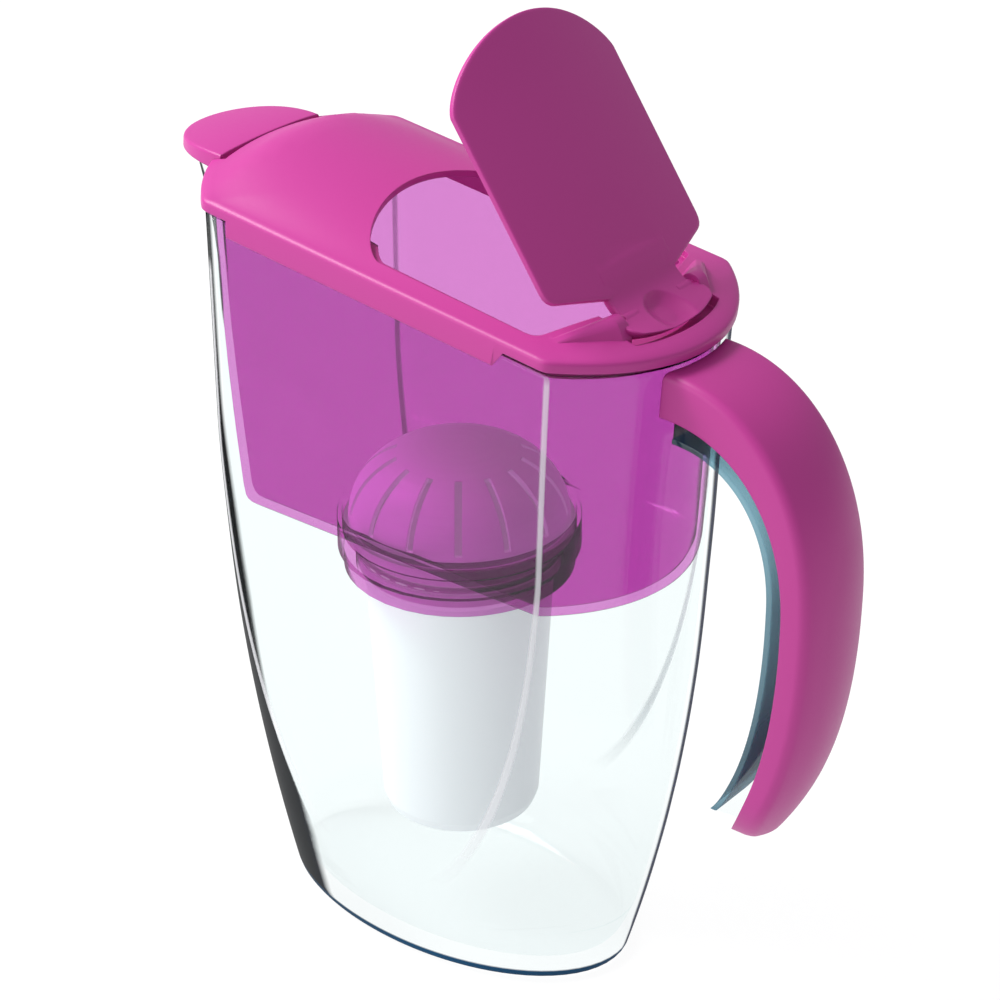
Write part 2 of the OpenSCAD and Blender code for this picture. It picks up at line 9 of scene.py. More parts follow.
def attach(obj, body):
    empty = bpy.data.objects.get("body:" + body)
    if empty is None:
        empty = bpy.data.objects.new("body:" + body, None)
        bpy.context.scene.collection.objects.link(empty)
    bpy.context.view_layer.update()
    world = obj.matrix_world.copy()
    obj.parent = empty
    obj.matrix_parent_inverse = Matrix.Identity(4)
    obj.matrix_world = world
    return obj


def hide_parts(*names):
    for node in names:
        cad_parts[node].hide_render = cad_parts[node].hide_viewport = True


# Water filter pitcher with flip lid. Lengths are in mm here and become metres in addMesh.
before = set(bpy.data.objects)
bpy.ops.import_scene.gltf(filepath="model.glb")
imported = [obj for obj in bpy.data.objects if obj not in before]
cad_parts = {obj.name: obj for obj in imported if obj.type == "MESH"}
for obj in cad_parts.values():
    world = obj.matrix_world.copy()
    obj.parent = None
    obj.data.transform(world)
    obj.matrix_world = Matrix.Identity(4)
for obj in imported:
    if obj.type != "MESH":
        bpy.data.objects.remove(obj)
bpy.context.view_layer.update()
scene = bpy.context.scene
mm = 0.001

# Camera fitted to the photograph
cameraLooks = {"lens": 105.76, "spot": (0.5461, -0.6675, 0.6255), "turn": (90 - 28.416, 0, 38.387)}
cameraData = bpy.data.cameras.new("camera")
cameraData.lens = cameraLooks["lens"]
cameraData.sensor_width = 36
camera = bpy.data.objects.new("camera", cameraData)
camera.location = cameraLooks["spot"]
camera.rotation_euler = [math.radians(a) for a in cameraLooks["turn"]]
scene.collection.objects.link(camera)
scene.camera = camera
print("camera set")


# Body sections, as in the part
jugSize = {
    "rimMid": 256.9,  # height of the rim line over the middle of the foot
    "tilt": math.radians(6.7),  # fall of the rim towards the handle
    "fullH": 255,  # height at which the sections end, before the rim cuts them
    "footFront": 70, "footRear": 67.8, "footHalf": 39.5, "frontSwell": 16, "frontFlare": 2,
    "rearSwell": 20, "rearFlare": 8, "ovalSwell": 29.8,
    "panelFoot": 45.5,  # half width over the flat sides, at the foot
    "wall": 2.4, "floor": 5,
    "rimGap": 4.8,  # jug edge below the rim line
    "spoutHalf": 24.4, "spoutReach": 23, "spoutDrop": 70, "spoutRise": 1.6,
}
rimMid, fullH, jugDrop = jugSize["rimMid"], jugSize["fullH"], jugSize["rimGap"]
spoutHalf = jugSize["spoutHalf"]


def rimZ(x):
    return rimMid - math.tan(jugSize["tilt"]) * x


def grow(z, reach, power):
    return 1 - (1 - min(1, max(0, z / reach))) ** power


def frontLen(z):
    flare = jugSize["frontFlare"] * (max(z, 0) / fullH) ** 2
    return jugSize["footFront"] + jugSize["frontSwell"] * grow(z, 130, 2) + flare


def rearLen(z):
    flare = jugSize["rearFlare"] * (max(z, 0) / fullH) ** 2.2
    return jugSize["footRear"] + jugSize["rearSwell"] * grow(z, 140, 2) + flare


def halfOval(z):
    return jugSize["footHalf"] + jugSize["ovalSwell"] * grow(z, 180, 1.35)


def panelHalf(z):
    return jugSize["panelFoot"] + z / fullH


# Values from low to high, closer together at both ends; high itself is left out
def eased(count, low, high):
    return [low + (high - low) * (1 - math.cos(math.pi * k / count)) / 2 for k in range(count)]


def smooth(s):
    s = max(0, min(1, s))
    return s * s * (3 - 2 * s)


def ringAngles(c, counts, extra=()):
    rear, side, front = counts
    angles = (eased(rear, -c, c) + eased(side, c, math.pi - c)
              + eased(front, math.pi - c, math.pi + c) + eased(side, math.pi + c, 2 * math.pi - c))
    return sorted(angles + list(extra))


def softMin(a, b, k):
    gap = abs(a - b)
    return min(a, b) - ((k - gap) ** 2 / (4 * k) if gap < k else 0)


def spoutBump(y, inset):
    w = spoutHalf - inset
    return 0 if abs(y) >= w else (1 - (abs(y) / w) ** 1.4) ** 0.75


def spoutGrow(z):
    return max(0, 1 - (fullH - z) / jugSize["spoutDrop"]) ** 1.6


def outline(z, inset, spout=0, counts=(44, 26, 72), soft=1.6, extra=()):
    half = halfOval(z) - inset
    panel = panelHalf(z) - inset
    c = math.asin(min(0.978, panel / half))
    points = []
    for a in ringAngles(c, counts, extra):
        long = (rearLen(z) if math.cos(a) > 0 else frontLen(z)) - inset
        y = math.copysign(softMin(half * abs(math.sin(a)), panel, soft), math.sin(a))
        lip = 0
        if math.cos(a) < 0:
            lip = spout * jugSize["spoutReach"] * spoutGrow(z) * spoutBump(y, inset)
        points.append((long * math.cos(a) - lip, y))
    return points


def jugTop(x):
    return rimZ(max(x, -88)) - jugDrop + jugSize["spoutRise"] * smooth((-83.5 - x) / 4.5)


def jugRing(z, inset, lift=0):
    return [(x, y, z * jugTop(x) / fullH + lift) for x, y in outline(z, inset, 1)]


# Mesh tools
def addMesh(name, points, faces, sharp=35):
    mesh = bpy.data.meshes.new(name)
    mesh.from_pydata([Vector(p) * mm for p in points], [], faces)
    mesh.validate()
    piece = bpy.data.objects.new(name, mesh)
    scene.collection.objects.link(piece)
    tidy(piece, sharp)
    return piece


# Welds, turns the faces outwards and shades smooth between sharp edges
def tidy(piece, sharp=35):
    bm = bmesh.new()
    bm.from_mesh(piece.data)
    bmesh.ops.remove_doubles(bm, verts=bm.verts, dist=1e-6)
    bmesh.ops.recalc_face_normals(bm, faces=bm.faces)
    bm.to_mesh(piece.data)
    bm.free()
    piece.data.polygons.foreach_set("use_smooth", [True] * len(piece.data.polygons))
    piece.data.set_sharp_from_angle(angle=math.radians(sharp))
    return piece


# Solid through equal rings; closed joins the last ring to the first instead of capping.
# A strip cap links each point to the one across the ring.
def loft(name, rings, closed=False, sharp=35, strip=False):
    n = len(rings[0])
    points = [p for ring in rings for p in ring]
    last = len(rings) if closed else len(rings) - 1
    faces = []
    for k in range(last):
        a, b = k * n, ((k + 1) % len(rings)) * n
        faces += [(a + i, a + (i + 1) % n, b + (i + 1) % n, b + i) for i in range(n)]
    for a in () if closed else (0, (len(rings) - 1) * n):
        if strip:
            faces += [(a + i, a + i + 1, a + n - 2 - i, a + n - 1 - i) for i in range(n // 2 - 1)]
        else:
            faces.append(tuple(range(a, a + n)))
    return addMesh(name, points, faces, sharp)


# Upright solid with plan as its outline, from low to high
def prism(name, plan, low, high):
    return loft(name, [[(x, y, low) for x, y in plan], [(x, y, high) for x, y in plan]])


# Marks the first count points as lying on the outer side
def markOuter(piece, count):
    marks = piece.data.attributes.new("outerSide", "FLOAT", "POINT")
    for k, mark in enumerate(marks.data):
        mark.value = float(k < count)


def box(name, low, high):
    plan = [(low[0], low[1]), (high[0], low[1]), (high[0], high[1]), (low[0], high[1])]
    return prism(name, plan, low[2], high[2])


# Cylinder along Y
def rodY(name, x, z, radius, half, mid=0, count=64):
    rings = [[(x + radius * math.cos(t), y, z + radius * math.sin(t))
              for t in np.linspace(0, 2 * math.pi, count, endpoint=False)]
             for y in (mid - half, mid + half)]
    return loft(name, rings)


# Convex solid round the points
def hull(name, points):
    bm = bmesh.new()
    made = [bm.verts.new(Vector(p) * mm) for p in points]
    found = bmesh.ops.convex_hull(bm, input=made)
    bmesh.ops.delete(bm, geom=list({v for v in found["geom_interior"] + found["geom_unused"]
                                    if isinstance(v, bmesh.types.BMVert)}), context="VERTS")
    mesh = bpy.data.meshes.new(name)
    bm.to_mesh(mesh)
    bm.free()
    piece = bpy.data.objects.new(name, mesh)
    scene.collection.objects.link(piece)
    return tidy(piece)


def combine(piece, tool, how="DIFFERENCE"):
    change = piece.modifiers.new("change", "BOOLEAN")
    change.operation = how
    change.solver = "EXACT"
    change.object = tool
    graph = bpy.context.evaluated_depsgraph_get()
    old = piece.data
    piece.data = bpy.data.meshes.new_from_object(piece.evaluated_get(graph))
    piece.modifiers.clear()
    bpy.data.meshes.remove(old)
    bpy.data.objects.remove(tool)
    return piece


# From rim coordinates to the frame: the rim line slopes down towards the handle
def onRim(piece):
    slope = Matrix.Rotation(jugSize["tilt"], 4, "Y")
    piece.data.transform(Matrix.Translation((0, 0, rimMid * mm)) @ slope)
    return piece


def place(piece, material, body, slotName, *nodes):
    piece.data.materials.clear()
    piece.data.materials.append(material)
    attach(piece, body)
    if nodes:
        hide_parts(*nodes)
    return piece


# Materials
# A node's output, with Math nodes behind its operators
class Socket:
    def __init__(self, mat, out):
        self.mat, self.out = mat, out

    def math(self, how, *others):
        node = self.mat.tree.nodes.new("ShaderNodeMath")
        node.operation = how
        for slot, value in zip(node.inputs, (self,) + others):
            self.mat.put(slot, value)
        return Socket(self.mat, node.outputs[0])

    def __add__(self, o): return self.math("ADD", o)
    def __radd__(self, o): return self.math("ADD", o)
    def __mul__(self, o): return self.math("MULTIPLY", o)
    def __rmul__(self, o): return self.math("MULTIPLY", o)
    def __sub__(self, o): return self.math("SUBTRACT", o)
    def __rsub__(self, o): return self * -1 + o
    def __truediv__(self, o): return self.math("DIVIDE", o)
    def __pow__(self, o): return self.math("POWER", o)


class Mat:
    def __init__(self, name):
        self.data = bpy.data.materials.new(name)
        self.data.use_nodes = True
        self.tree = self.data.node_tree
        self.tree.nodes.clear()
        self.end = self.tree.nodes.new("ShaderNodeOutputMaterial")

    def put(self, slot, value):
        if isinstance(value, Socket):
            self.tree.links.new(value.out, slot)
        elif isinstance(value, bpy.types.NodeSocket):
            self.tree.links.new(value, slot)
        elif hasattr(slot.default_value, "__len__"):
            slot.default_value = tuple(value) + (1,) * (len(slot.default_value) - len(value))
        else:
            slot.default_value = value

    def node(self, kind, out=0, settings=None, **inputs):
        node = self.tree.nodes.new("ShaderNode" + kind)
        for key, value in (settings or {}).items():
            setattr(node, key, value)
        for key, value in inputs.items():
            self.put(node.inputs[key.replace("_", " ")], value)
        return Socket(self, node.outputs[out])

    def mix(self, factor, a, b):
        node = self.tree.nodes.new("ShaderNodeMix")
        node.data_type = "RGBA"
        self.put(node.inputs[0], factor)
        self.put(node.inputs[6], a)
        self.put(node.inputs[7], b)
        return Socket(self, node.outputs[2])

    def blend(self, factor, a, b):
        node = self.tree.nodes.new("ShaderNodeMixShader")
        self.put(node.inputs[0], factor)
        self.put(node.inputs[1], a)
        self.put(node.inputs[2], b)
        return Socket(self, node.outputs[0])

    # Smooth steps between (place, value) pairs
    def ramp(self, factor, *stops):
        node = self.tree.nodes.new("ShaderNodeValToRGB")
        ramp = node.color_ramp
        while len(ramp.elements) < len(stops):
            ramp.elements.new(0.5)
        for element, (place, value) in zip(ramp.elements, stops):
            element.position = place
            element.color = (tuple(value) if hasattr(value, "__len__") else (value,) * 3) + (1,)
        self.put(node.inputs[0], factor)
        return Socket(self, node.outputs[0])

    def noise(self, scale, detail=2.0):
        spot = self.node("TexCoord", out=3)
        return self.node("TexNoise", Vector=spot, Scale=scale, Detail=detail)

    def done(self, surface):
        self.put(self.end.inputs["Surface"], surface)
        return self.data


opaqueLooks = {
    "magenta": {"colour": (0.55, 0.041, 0.3), "rough": 0.42},
    # white: glow is painted light, an emission that brightens the white plastic where the lid and
    # tank shade it
    "white": {"colour": (0.95, 0.95, 0.97), "rough": 0.4, "rounding": 0.0004, "glow": 0.14},
}


def opaquePlastic(name, colour, rough=0.3, rounding=0.0006, glow=0):
    m = Mat(name)
    grain = m.noise(900, 3)
    cloud = m.noise(14, 2)
    shade = m.mix(cloud * 0.5, colour, [c * 0.93 for c in colour])
    edge = m.node("Bevel", settings={"samples": 6}, Radius=rounding)
    relief = m.tree.nodes.new("ShaderNodeBump")
    relief.inputs["Distance"].default_value = 0.00005
    relief.inputs["Strength"].default_value = 0.25
    m.put(relief.inputs["Height"], grain)
    m.put(relief.inputs["Normal"], edge)
    # glow makes the plastic emit its own colour: painted light
    return m.done(m.node("BsdfPrincipled", Base_Color=shade, Normal=relief.outputs[0],
                         Roughness=grain * 0.08 + (rough - 0.04), IOR=1.46,
                         Emission_Color=colour, Emission_Strength=glow))


# Thin clear plastic: light passes with a tint, and where edge is 1 a dark colour is painted in,
# partly the plastic's tint over a longer path and partly painted shade standing in for refraction
# at the edges
def clearSurface(m, facing, tint, edge, edgeColour, gloss, rough=0.03):
    edgeTintAndShade = m.node("BsdfPrincipled", Base_Color=edgeColour, Roughness=0.5, Specular_IOR_Level=0.0)
    body = m.blend(edge, m.node("BsdfTransparent", Color=tint), edgeTintAndShade)
    shine = m.node("BsdfGlossy", Color=(1, 1, 1), Roughness=rough)
    return m.blend((facing ** 5) * 0.12 + gloss, body, shine)


# Clear, with painted dark edges standing in for refraction shade, partly the plastic's tint: black
# along the edges at the spout and navy at the handle, blue round the foot
def jugPlastic():
    m = Mat("clear_plastic")
    facing = m.node("LayerWeight", out=1, Blend=0.5)
    parts = m.tree.nodes.new("ShaderNodeSeparateXYZ")
    m.put(parts.inputs[0], m.node("TexCoord", out=3))
    x, z = Socket(m, parts.outputs[0]) * 5 + 0.5, Socket(m, parts.outputs[2]) * 50
    y = Socket(m, parts.outputs[1]).math("ABSOLUTE") * 1000
    turned = m.tree.nodes.new("ShaderNodeSeparateXYZ")
    m.put(turned.inputs[0], m.node("TexCoord", out=1))
    level = Socket(m, turned.outputs[2]).math("ABSOLUTE")
    outer = m.node("Attribute", out=2, settings={"attribute_name": "outerSide"})
    behind = m.node("NewGeometry", out=6)
    # Painted shade round the near edge of the foot, partly the tint of the thick floor, only on
    # outer faces turned to the camera
    foot = m.ramp(z, (0.19, 1.0), (0.23, 0.0)) * m.ramp(level, (0.85, 1.0), (0.97, 0.0))
    foot = foot * (1 - behind) * outer
    # The painted edge shade widens low down towards the spout
    low = m.ramp(z / 10, (0.5, 1.0), (0.95, 0.15)) * m.ramp(x, (0.3, 1.0), (0.5, 0.0))
    edge = (m.ramp(facing + low * 0.15, (0.8, 0.0), (0.86, 1.0)) * outer).math("MAXIMUM", foot)
    # Colours of the painted edge shade: black at the spout, navy at the handle, blue round the
    # foot
    side = m.mix(m.ramp(x, (0.3, 0.0), (0.7, 1.0)), (0.004, 0.006, 0.008), (0.0, 0.012, 0.07))
    under = m.mix(m.ramp(x, (0.1, 0.0), (0.35, 0.5), (0.6, 1.0)),
                  (0.006, 0.012, 0.014), (0.0, 0.07, 0.17))
    colour = m.mix(foot, side, under)
    surface = clearSurface(m, facing, (0.966, 0.984, 0.984), edge, colour, 0.014)
    # Painted highlight: a pale line along the creases where the flat sides meet the rounded ends
    fromPanel = (jugSize["panelFoot"] + z / 12.75 - y) / 4
    crease = m.ramp(fromPanel, (0.03, 0.0), (0.08, 1.0), (0.2, 1.0), (0.28, 0.0))
    crease = crease * m.ramp(z / 13, (0.15, 0.0), (0.3, 1.0), (0.925, 1.0), (0.945, 0.0))
    paintedCreaseHighlight = m.node("BsdfPrincipled", Base_Color=(0.93, 0.93, 0.96), Roughness=0.3)
    return m.done(m.blend(crease * 0.6, surface, paintedCreaseHighlight))


# Translucent magenta, darker at the edges: partly the tint over a longer path, partly painted
# shade standing in for refraction
def tankPlasticMade():
    m = Mat("magenta_translucent")
    facing = m.node("LayerWeight", out=1, Blend=0.5)
    edge = m.ramp(facing, (0.8, 0.0), (0.95, 1.0))
    return m.done(clearSurface(m, facing, (0.84, 0.49, 0.795), edge, (0.13, 0.004, 0.09), 0.012))


# Blue clear plastic, darker at glancing angles: partly the tint of thick plastic seen edge-on,
# partly painted shade
def edgePlasticMade():
    m = Mat("blue_edge")
    facing = m.node("LayerWeight", out=1, Blend=0.5)
    edge = m.ramp(facing, (0.3, 0.15), (0.7, 0.8))
    return m.done(clearSurface(m, facing, (0.55, 0.76, 0.83), edge, (0.03, 0.13, 0.2), 0.05))


edgePlastic = edgePlasticMade()
magenta = opaquePlastic("magenta_plastic", **opaqueLooks["magenta"])
clearPlastic = jugPlastic()
tankPlastic = tankPlasticMade()
whitePlastic = opaquePlastic("white_plastic", **opaqueLooks["white"])
print("materials made")

# Jug: one closed loft, out and up, over the lip and down the inside
footEdge = [(0, 5), (0, 3.2), (0.15, 2.2), (0.5, 1.2), (1.1, 0.5), (2.0, 0.12), (3.2, 0)]
outerLevels = [6, 10, 15, 20] + list(range(26, 206, 6)) + list(range(206, 254, 3)) + [254]
innerLevels = [254, 251] + list(range(246, 200, -4)) + list(range(200, 24, -8)) + [22]
insideFoot = [(16, 0.1), (12, 0.4), (9, 0.8), (6.5, 1.3), (4.5, 1.9), (3, 2.6), (1.6, 3.7),
              (0.7, 5.0), (0.2, 6.4), (0, 8), (0, 14)]
jugRings = [jugRing(z, inset) for z, inset in footEdge]
jugRings += [jugRing(z, 0) for z in outerLevels]
jugRings += [jugRing(254.7, 0.25), jugRing(fullH, 0.8), jugRing(fullH, 1.6), jugRing(254.7, 2.15)]
jugRings += [jugRing(z, jugSize["wall"]) for z in innerLevels]
for h, inset in insideFoot:
    floorH = jugSize["floor"] + h
    jugRings.append([(x, y, floorH) for x, y in outline(floorH, jugSize["wall"] + inset)])
jug = loft("jug", jugRings, sharp=60)
outerRings = len(footEdge) + len(outerLevels) + 2
markOuter(jug, outerRings * len(jugRings[0]))
place(jug, clearPlastic, "jug", "clear_plastic", "jug_body")
print("jug built")

# Funnel tank with its filter socket
tankSize = {
    "inset": 3.2,  # outer side of the tank, in from the jug's outline
    "wall": 2,
    "floor": 155.5,  # underside of the tank floor
    "flangeTop": 3.0,  # below the rim line
}
tankInset, tankWall, tankFloor = tankSize["inset"], tankSize["wall"], tankSize["floor"]
flangeTop = tankSize["flangeTop"]
bodyScale = fullH / (rimMid - jugDrop)
socketTop = tankFloor + tankWall


def tankPlan(z, inset):
    front = -69 + 12 * (rimMid - z) / 100 + inset - tankInset
    return [(softMax(x, front, 2.5), y) for x, y in outline(z * bodyScale, inset)]


def softMax(a, b, k):
    return -softMin(-a, -b, k)


def tankRing(z, inset, h):
    return [(x, y, h) for x, y in tankPlan(z, inset)]


def tankWallRing(share, inset, drop):
    z = tankFloor + share * (rimMid - tankFloor)
    return [(x, y, tankFloor + share * (rimZ(x) - drop - tankFloor))
            for x, y in tankPlan(z, inset)]


def roundRing(radius, h):
    angles = [math.atan2(y, x) for x, y in tankPlan(tankFloor, tankInset)]
    return [(radius * math.cos(a), radius * math.sin(a), h) for a in angles]


shares = [0.08, 0.16, 0.26, 0.38, 0.5, 0.62, 0.74, 0.86, 0.95]
tankRings = [roundRing(41, tankFloor)]
tankRings += [tankRing(tankFloor + h, tankInset + inset, tankFloor + h)
              for h, inset in ((0, 7), (0, 5), (0.25, 3.6), (0.8, 2.4), (1.7, 1.4),
                               (3, 0.6), (4.6, 0.2))]
tankRings += [tankWallRing(s, tankInset, flangeTop) for s in shares]
tankRings += [tankWallRing(1, inset, drop) for inset, drop in (
    (tankInset, 4.5), (0.7, 4.5), (0.6, 4.4), (0.6, 3.1), (0.7, flangeTop),
    (tankInset + tankWall, flangeTop))]
tankRings += [tankWallRing(s, tankInset + tankWall, flangeTop) for s in reversed(shares)]
tankRings += [tankRing(socketTop + h, tankInset + tankWall + inset, socketTop + h)
              for h, inset in ((3.6, 0.5), (2, 1.2), (0.9, 2.4), (0.2, 3.8), (0, 5.4))]
tankRings += [roundRing(r, h) for r, h in (
    (40, socketTop), (39.5, socketTop - 0.3), (39.3, socketTop - 1), (39.3, 150),
    (35.2, 150), (35, 149.8), (35, 136.6), (35.2, 136.5), (38.7, 136.5), (39, 136.8),
    (39, 143.5), (40.7, 143.5), (41, 143.8), (41, tankFloor - 0.2))]
tank = loft("tank", tankRings, closed=True, sharp=50)
place(tank, tankPlastic, "funnel", "magenta_translucent", "funnel_tank")
print("tank built")

# Handle: magenta cover over a clear core
handleSize = {
    "square": 2.2,  # power of the bow's oval
    "x": 92,  # middle of the bow
    "h": 168, "reach": 55.4, "up": 72.4, "down": 105, "coverHalf": 17, "coverWall": 2.2,
    "backCrown": 3.6,
    "foot": 83,  # open lower end
    "taperTop": 102,  # height where the bar starts to narrow
    "taperLen": 23,
}
coverHalf, coverWall = handleSize["coverHalf"], handleSize["coverWall"]


def bow(a, dx, dz, dd):
    power = 2 / handleSize["square"]
    tall = handleSize["up"] - dz if a > 0 else handleSize["down"] - dd
    return (handleSize["x"] + (handleSize["reach"] - dx) * max(0, math.cos(a)) ** power,
            handleSize["h"] + tall * math.copysign(abs(math.sin(a)) ** power, a))


# The handle narrows to its open lower end
def barTaper(z):
    below = max(0, handleSize["taperTop"] - z) / handleSize["taperLen"]
    return math.sqrt(max(0.05, 1 - below ** 2))


# Bar along the handle's curve: crowned back, ridges rounded by ridge, flat front
def bowBar(name, back, front, half, ridge, backRise=handleSize["backCrown"]):
    turn = [math.radians(t) for t in np.linspace(0, 90, 6)]
    side = [(half - ridge + ridge * math.cos(t), ridge - ridge * math.sin(t)) for t in turn]
    across = [(y, 0) for y in np.linspace(half - ridge, ridge - half, 13)[1:-1]]
    section = side + across + [(-y, d) for y, d in reversed(side)]
    rings = []
    for a in np.radians(np.arange(90, -63.1, -1.5)):
        ring = []
        for y, d in section:
            c = backRise * (1 - (y / coverHalf) ** 2)
            x, z = bow(a, back[0] + d - c, back[1] + d, back[2] + d - 0.7 * c)
            ring.append((x, y * barTaper(z), z))
        x, z = bow(a, *front)
        ring += [(x, -half * barTaper(z), z), (x, half * barTaper(z), z)]
        rings.append(ring)
    return loft(name, rings)


def jugCutter(gap):
    heights = list(range(60, 201, 20)) + [215, 230, 245, fullH, 268]
    return loft("cutter", [jugRing(z, -gap) for z in heights])


cover = bowBar("handle_shell", (0, 0, 0), (8.6, 15, 4), coverHalf, 2.6)
combine(cover, box("foot", (80, -50, 20), (170, 50, handleSize["foot"])))
inside = bowBar("inside", (coverWall, coverWall, 0), (13.6, 22, 12), coverHalf - coverWall, 1)
combine(cover, inside)
combine(cover, jugCutter(0.2))
tidy(cover, 32)
place(cover, magenta, "jug", "magenta_plastic", "handle_cover")

# The second piece is a thin strip over the core's front, carrying its blue edge: partly the
# plastic's tint seen edge-on, partly painted shade
for name, back, front, half in (("handle_clear", (2.5, 2.5, 0), (16, 24.4, 12.4), 10.6),
                                ("handle_clear_edge", (15.9, 24.3, 12.3), (17.8, 26.2, 14.2), 11)):
    core = bowBar(name, back, front, half, 0.6, 0)
    combine(core, box("foot", (80, -50, 20), (170, 50, handleSize["foot"] + 3)))
    combine(core, jugCutter(0))
    tidy(core, 32)
    if name == "handle_clear":
        place(core, clearPlastic, "jug", "clear_plastic", "handle_core")
    else:
        place(core, edgePlastic, "jug", "clear_plastic")
print("handle built")

# Lid, in rim coordinates: x to the handle, z up from the rim line
lidSize = {
    "inset": -1.5,  # outside the jug's outline
    "wall": 2.2,
    "rearOver": 2.4,  # reach past the jug at the handle
    "creaseX": -66,  # where the front starts to fall
    "seamX": -79.8,  # front edge, behind the spout flap
    "crownFront": 12, "crownMid": 7, "crownRear": 3,
    "bandDrop": 8.4,  # depth of the side bands and the skirt
    "pocketHalf": 21.8, "pocketR": 51.4, "pocketDepth": 7, "earIn": 18.9, "earW": 4,
    "earR": 3.6,
}
lidInset, creaseX, seamX = lidSize["inset"], lidSize["creaseX"], lidSize["seamX"]
crownMid, pocketHalf, pocketR = lidSize["crownMid"], lidSize["pocketHalf"], lidSize["pocketR"]
earIn, earW = lidSize["earIn"], lidSize["earW"]
rimEnd = rearLen(fullH) + lidSize["rearOver"]
rearStretch = rimEnd / (rearLen(fullH) - lidInset)


def crown(x):
    if x < creaseX:
        return lidSize["crownFront"] - 0.5 * (creaseX - x)
    if x < 0:
        return crownMid + (lidSize["crownFront"] - crownMid) * x / creaseX
    return crownMid - (crownMid - lidSize["crownRear"]) * x / rimEnd


def lidH(x, y):
    return 1.2 + crown(x) * max(0, 1 - (y / 48) ** 2)


bandEnds = [math.acos(x / long) for x, long in
            ((53, rimEnd), (53.5, rimEnd), (-55, 89.5), (-55.5, 89.5))]
bandEnds += [2 * math.pi - a for a in bandEnds]


def lidPlan(inset):
    return [(x * (rearStretch if x > 0 else 1), y)
            for x, y in outline(fullH, inset, extra=bandEnds)]


def lidRing(share, inset, drop):
    points = []
    for x, y in lidPlan(inset):
        x, y = share * x, share * y
        points.append((x, y, (lidH(x, y) - 1.2) * (1 - share ** 10) + 1.2 - drop))
    return points


def flatRing(inset, h):
    return [(x, y, h) for x, y in lidPlan(inset)]


# Lower edge of the rim, which hangs deeper along the flat sides
def bandRing(inset, lift):
    return [(x, y, (-lidSize["bandDrop"] if -55.3 < x < 53.4 and abs(y) > 40 else -2.7) + lift)
            for x, y in lidPlan(inset)]


def behindSeam(ring):
    return [(max(x, seamX + 5), y, z) for x, y, z in ring]


lidShares = [0.99, 0.975, 0.955, 0.93, 0.9, 0.86, 0.82, 0.77, 0.71,
             0.64, 0.56, 0.48, 0.4, 0.32, 0.24, 0.16, 0.08, 0.02]
hollow = tankInset + tankWall + 2.1
flipSize = {
    "hingeX": 77.5, "hingeH": 4.8, "wall": 2.2, "rear": 62.5, "half": 39.6, "straight": 61.5,
    "nose": 20.5, "nosePower": 1.4, "neckHalf": 17.6, "neckX": 69.5, "tabHalf": 20.4,
    "tabLen": 10.4, "tabBend": math.radians(31), "dimpleX": 81.5, "dimpleY": -0.5,
    "dimpleR": 8.2, "dimpleDepth": 3, "hubR": 2.4, "pinR": 1.6,
    "open": math.radians(47.4),  # open lid at rest
}
hingeX, hingeH, flipT = flipSize["hingeX"], flipSize["hingeH"], flipSize["wall"]
flipRear, flipHalfW, neckHalf = flipSize["rear"], flipSize["half"], flipSize["neckHalf"]
neckX, tabBend = flipSize["neckX"], flipSize["tabBend"]
flapSize = {
    "x": -81.4,  # axis
    "h": 0.4, "length": 30.4, "top": 4.6, "fall": 6.2, "hubR": 1.2, "pinR": 1,
}
flapX, flapH = flapSize["x"], flapSize["h"]


def flipHalf(o, step=3):
    turns = [math.radians(a) for a in range(0, 90, step)]
    front = flipRear - flipSize["straight"]
    side = [(front - (flipSize["nose"] + o) * max(0, math.cos(t)) ** flipSize["nosePower"],
             (flipHalfW + o) * math.sin(t)) for t in turns]
    corner, end = (flipRear + o * 0.4, flipHalfW + o), (neckX + o, neckHalf + o)
    along = [(x, corner[1]) for x in np.linspace(front, corner[0] - 4, 13)]
    begin, stop = (corner[0] - 4, corner[1]), (corner[0] + 1.12, corner[1] - 3.52)
    turn = [tuple((1 - t) ** 2 * a + 2 * t * (1 - t) * b + t * t * c
                  for a, b, c in zip(begin, corner, stop))
            for t in (0.25, 0.5, 0.75, 1)]
    taper = [(corner[0] + (end[0] - corner[0]) * t, corner[1] + (end[1] - corner[1]) * t)
             for t in (0.4, 0.6, 0.8, 1.0)]
    return side + along + turn + taper


def mirrored(half):
    return half + [(x, -y) for x, y in reversed(half[1:])]


def flipRing(o, share, drop):
    points = []
    for x, y in reversed(mirrored(flipHalf(o))):
        x, y = 24 + share * (x - 24), share * y
        points.append((x, y, lidH(x, y) - drop))
    return points


flipShares = [1, 0.97, 0.92, 0.85, 0.76, 0.66, 0.55, 0.44, 0.33, 0.22, 0.11, 0.02]


def pocketPlan(r, half, start=71.5):
    top = math.asin(min(1, half / r))
    arc = [(40 + r * math.cos(a), r * math.sin(a)) for a in np.linspace(-top, top, 60)]
    return [(start, -half)] + arc + [(start, half)]


# Lower edge of the skirt inside the tank, which stops short of the spout
def skirtRing(inset):
    return [(x, y, -lidSize["bandDrop"] if x > -61 else -2.75) for x, y in lidPlan(inset)]


